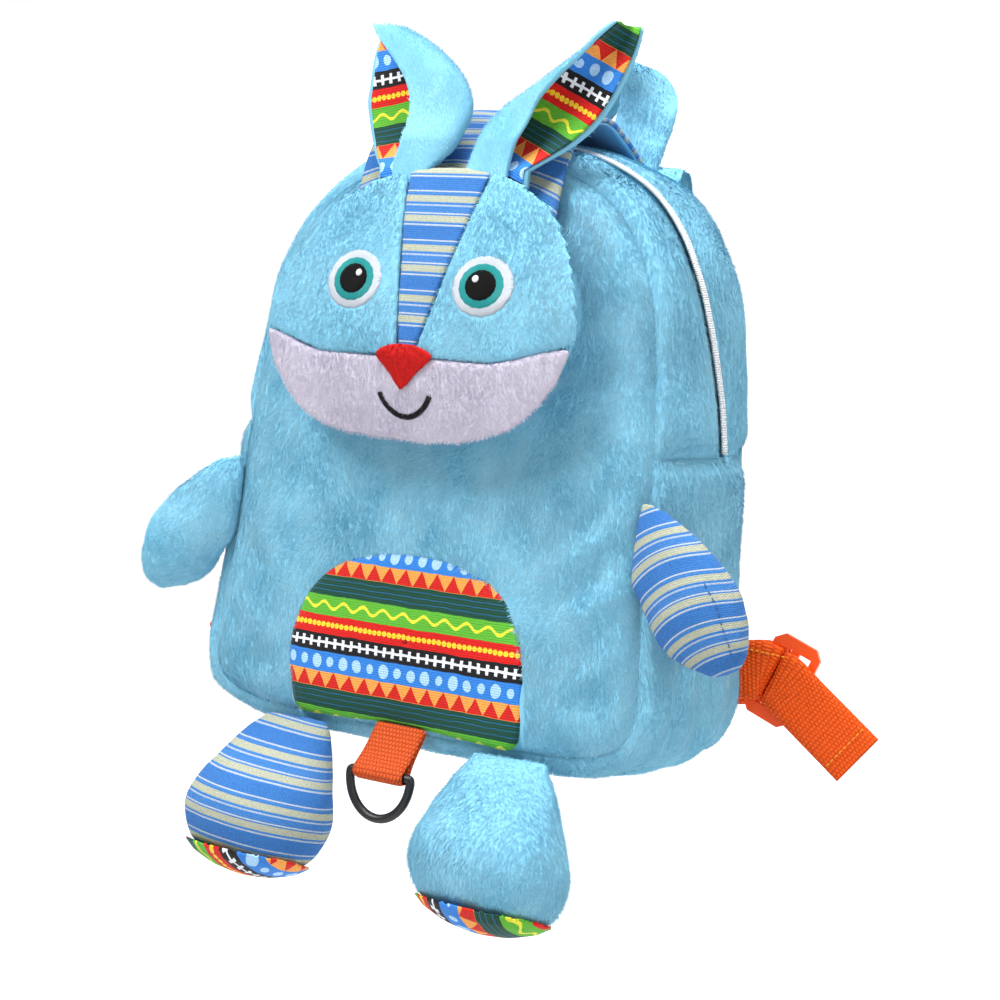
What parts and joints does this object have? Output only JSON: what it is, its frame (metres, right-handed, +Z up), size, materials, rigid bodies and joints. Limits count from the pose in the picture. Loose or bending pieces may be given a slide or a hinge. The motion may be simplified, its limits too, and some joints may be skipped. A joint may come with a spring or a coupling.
{
  "type": "kids backpack",
  "caption": "Plush rabbit backpack for a toddler: hollow zipped bag with a stuffed face, folded ears, arms and legs, a grab handle and webbing shoulder straps.",
  "frame": {"origin": "underside of the middle of the grab handle's top, where a hook or hand carries the bag", "axes": "+X to the right as seen facing the rabbit, +Y towards the wearer's back, +Z up"},
  "size_m": [0.3715, 0.1643, 0.3926],
  "materials": {
    "plush": "short-pile polyester plush, brushed",
    "printed_cotton": "printed woven cloth with bands of simple geometric figures",
    "striped_knit": "knitted cloth with cream and white stripes",
    "white_plush": "short-pile polyester plush, white",
    "red_plush": "short-pile plush, stuffed",
    "eye_embroidery": "satin-stitch embroidery",
    "mouth_embroidery": "satin-stitch embroidery",
    "lining": "smooth woven lining",
    "zip_tape": "nylon coil zip on woven tape",
    "zip_metal": "die-cast, painted",
    "orange_webbing": "woven polypropylene webbing",
    "orange_plastic": "injection moulded",
    "black_plastic": "injection moulded"
  },
  "bodies": {
    "bag": {"front_panel": "plush", "back_panel": "plush", "gusset_zip_front": "plush", "gusset_zip_rear": "plush", "gusset_lower": "plush", "zipper": "zip_tape", "zip_slider": "zip_metal", "belly_patch": "printed_cotton", "head_back": "plush", "head_cheek_left": "plush", "head_cheek_right": "plush", "head_forehead": "striped_knit", "head_muzzle": "white_plush", "eye_left": "eye_embroidery", "eye_right": "eye_embroidery", "nose": "red_plush", "mouth": "mouth_embroidery", "crown_flap": "striped_knit", "crown_lining": "lining", "ear_left_plush": "plush", "ear_left_print": "printed_cotton", "ear_right_plush": "plush", "ear_right_print": "printed_cotton", "arm_left": "plush", "arm_right": "striped_knit", "leg_left": "striped_knit", "leg_right": "plush", "sole_left": "printed_cotton", "sole_right": "printed_cotton", "handle": "plush", "front_loop": "orange_webbing", "shoulder_pad_left": "plush", "strap_loop_left": "orange_webbing", "strap_slider_left": "orange_plastic", "strap_webbing_left": "orange_webbing", "shoulder_pad_right": "plush", "strap_loop_right": "orange_webbing", "strap_slider_right": "orange_plastic", "strap_webbing_right": "orange_webbing"},
    "ring": {"d_ring": "black_plastic"}
  },
  "joints": [
    {"name": "ring_swing", "type": "hinge", "parent": "bag", "child": "ring", "pos_m": [-0.03608, -0.116, -0.33154], "axis": [1, 0, 0], "range_deg": [-75, 60]}
  ]
}
